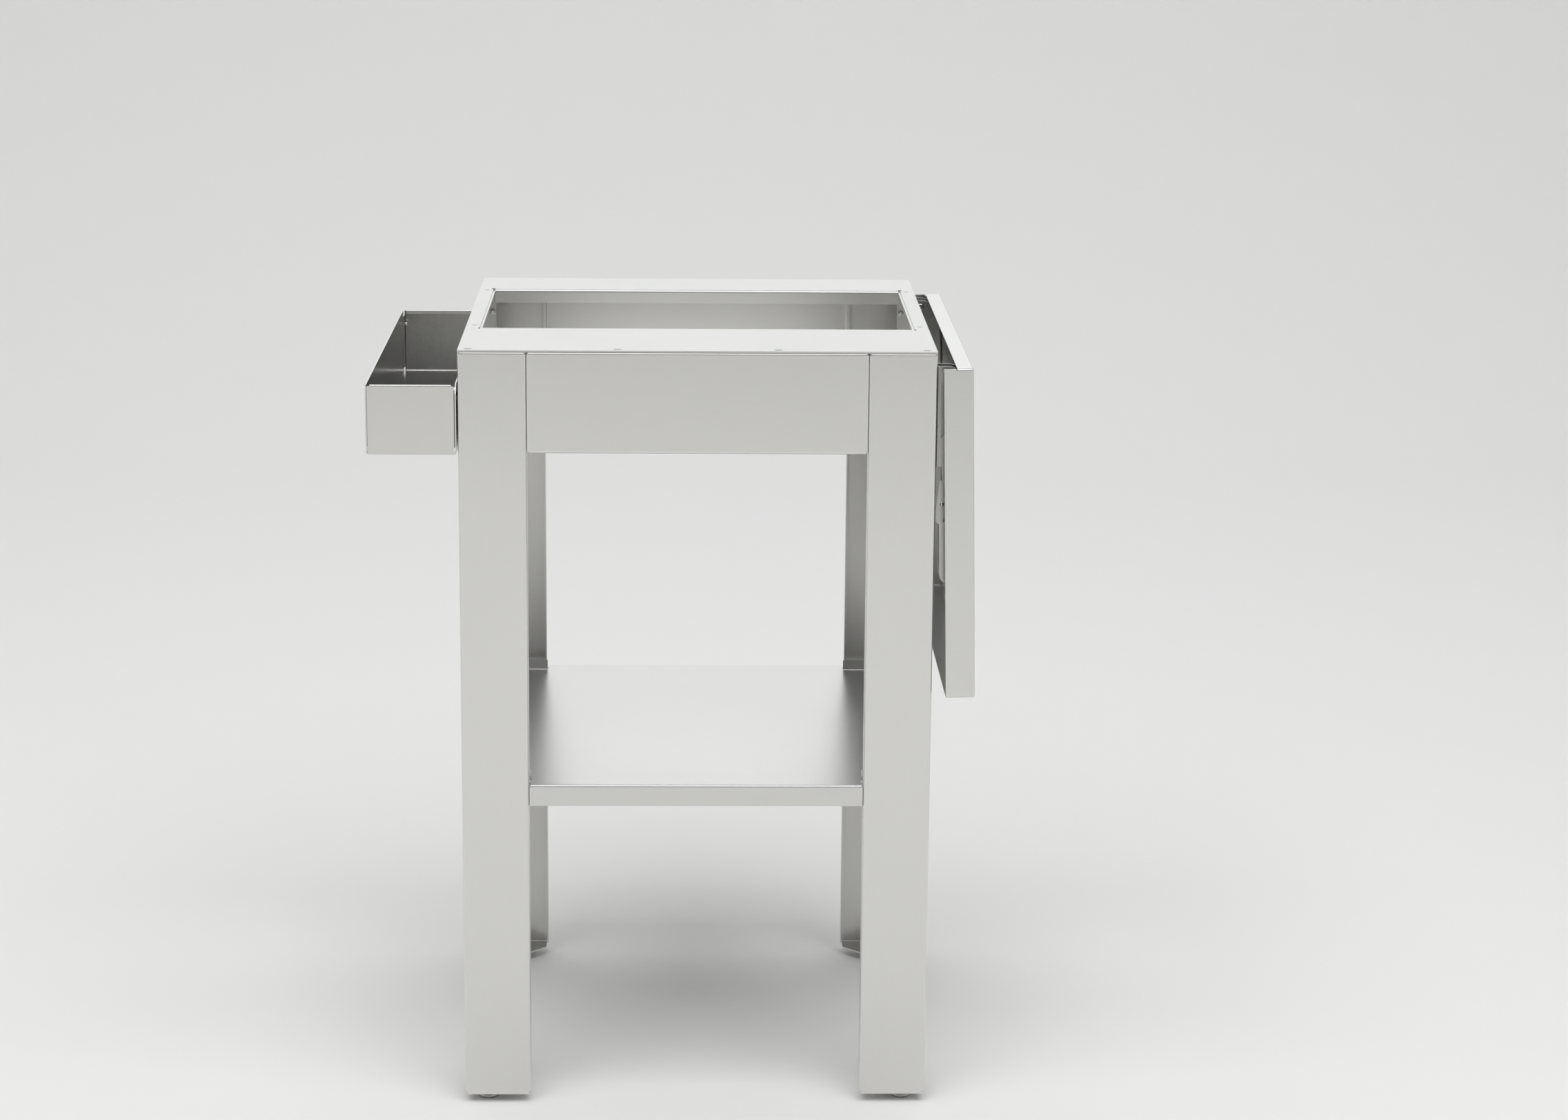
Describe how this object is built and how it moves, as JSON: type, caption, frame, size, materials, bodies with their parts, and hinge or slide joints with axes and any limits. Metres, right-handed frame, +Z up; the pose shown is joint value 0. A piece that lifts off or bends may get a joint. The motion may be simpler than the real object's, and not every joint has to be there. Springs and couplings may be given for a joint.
{
  "type": "grill stand",
  "caption": "Free-standing folded steel stand with a top opening for a grill, lower shelf, side tool tray and a fold-down side table on bracket struts.",
  "frame": {"origin": "on the floor, under the middle of the whole part's bounding box", "axes": "+Z up, front towards -Y, tray on -X and side table on +X"},
  "size_m": [0.6948, 0.5454, 0.898],
  "materials": {
    "sheet": "satin brushed stainless sheet",
    "plate": "satin stainless sheet, finer grain",
    "bracket": "pressed stainless steel",
    "fastener": "turned stainless fasteners",
    "foot": "pressed steel foot pad"
  },
  "bodies": {
    "stand": {"bracket_dome_nuts": "fastener", "bracket_screws": "fastener", "foot_nuts": "fastener", "front_panel": "sheet", "hinge_pin_front": "fastener", "hinge_pin_rear": "fastener", "left_panel": "sheet", "leg_front_left": "sheet", "leg_front_right": "sheet", "leg_rear_left": "sheet", "leg_rear_right": "sheet", "panel_dome_nuts": "fastener", "panel_screws": "fastener", "plate_nuts": "fastener", "plate_studs": "fastener", "rear_panel": "sheet", "right_panel": "sheet", "shelf": "plate", "shelf_dome_nuts": "fastener", "shelf_screws": "fastener", "strut_pin_front": "fastener", "strut_pin_rear": "fastener", "top_plate": "plate", "tray": "sheet", "tray_dome_nuts": "fastener", "tray_rivets": "fastener", "tray_screws": "fastener", "tray_spacers": "fastener", "wall_bracket_front": "bracket", "wall_bracket_rear": "bracket"},
    "side_table": {"side_table": "sheet", "table_arm_front": "bracket", "table_arm_rear": "bracket", "lever_rivets": "fastener", "arm_studs": "fastener", "arm_nuts": "fastener"},
    "strut_front": {"strut_front": "bracket", "guide_pin_front": "fastener"},
    "release_lever_front": {"release_lever_front": "bracket"},
    "strut_rear": {"strut_rear": "bracket", "guide_pin_rear": "fastener"},
    "release_lever_rear": {"release_lever_rear": "bracket"},
    "foot_front_left": {"foot_pad_front_left": "foot", "foot_stud_front_left": "fastener"},
    "foot_front_right": {"foot_pad_front_right": "foot", "foot_stud_front_right": "fastener"},
    "foot_rear_left": {"foot_pad_rear_left": "foot", "foot_stud_rear_left": "fastener"},
    "foot_rear_right": {"foot_pad_rear_right": "foot", "foot_stud_rear_right": "fastener"}
  },
  "joints": [
    {"name": "table_fold", "type": "hinge", "parent": "stand", "child": "side_table", "pos_m": [0.31011, 0, 0.8696], "axis": [0, -1, 0], "range_deg": [0, 88.63]},
    {"name": "strut_turn_front", "type": "hinge", "parent": "stand", "child": "strut_front", "pos_m": [0.31011, -0.24, 0.7896], "axis": [0, -1, 0], "range_deg": [0, 120.2]},
    {"name": "lever_squeeze_front", "type": "hinge", "parent": "side_table", "child": "release_lever_front", "pos_m": [0.3065, -0.24, 0.71947], "axis": [0, -1, 0], "range_deg": [0, 8], "stiffness_Nm_per_rad": 0.02, "springref_deg": -11.46},
    {"name": "strut_turn_rear", "type": "hinge", "parent": "stand", "child": "strut_rear", "pos_m": [0.31011, 0.24, 0.7896], "axis": [0, -1, 0], "range_deg": [0, 120.2]},
    {"name": "lever_squeeze_rear", "type": "hinge", "parent": "side_table", "child": "release_lever_rear", "pos_m": [0.3065, 0.24, 0.71947], "axis": [0, -1, 0], "range_deg": [0, 8], "stiffness_Nm_per_rad": 0.02, "springref_deg": -11.46},
    {"name": "foot_level_front_left", "type": "hinge", "parent": "stand", "child": "foot_front_left", "pos_m": [-0.21639, -0.244, 0], "axis": [0, 0, 1], "continuous": true},
    {"name": "foot_level_front_right", "type": "hinge", "parent": "stand", "child": "foot_front_right", "pos_m": [0.27161, -0.244, 0], "axis": [0, 0, 1], "continuous": true},
    {"name": "foot_level_rear_left", "type": "hinge", "parent": "stand", "child": "foot_rear_left", "pos_m": [-0.21639, 0.244, 0], "axis": [0, 0, 1], "continuous": true},
    {"name": "foot_level_rear_right", "type": "hinge", "parent": "stand", "child": "foot_rear_right", "pos_m": [0.27161, 0.244, 0], "axis": [0, 0, 1], "continuous": true}
  ],
  "couplings": [
    {"joint": "strut_turn_front", "follows": "table_fold", "ratio": 1.3545},
    {"joint": "strut_turn_rear", "follows": "table_fold", "ratio": 1.3545}
  ]
}
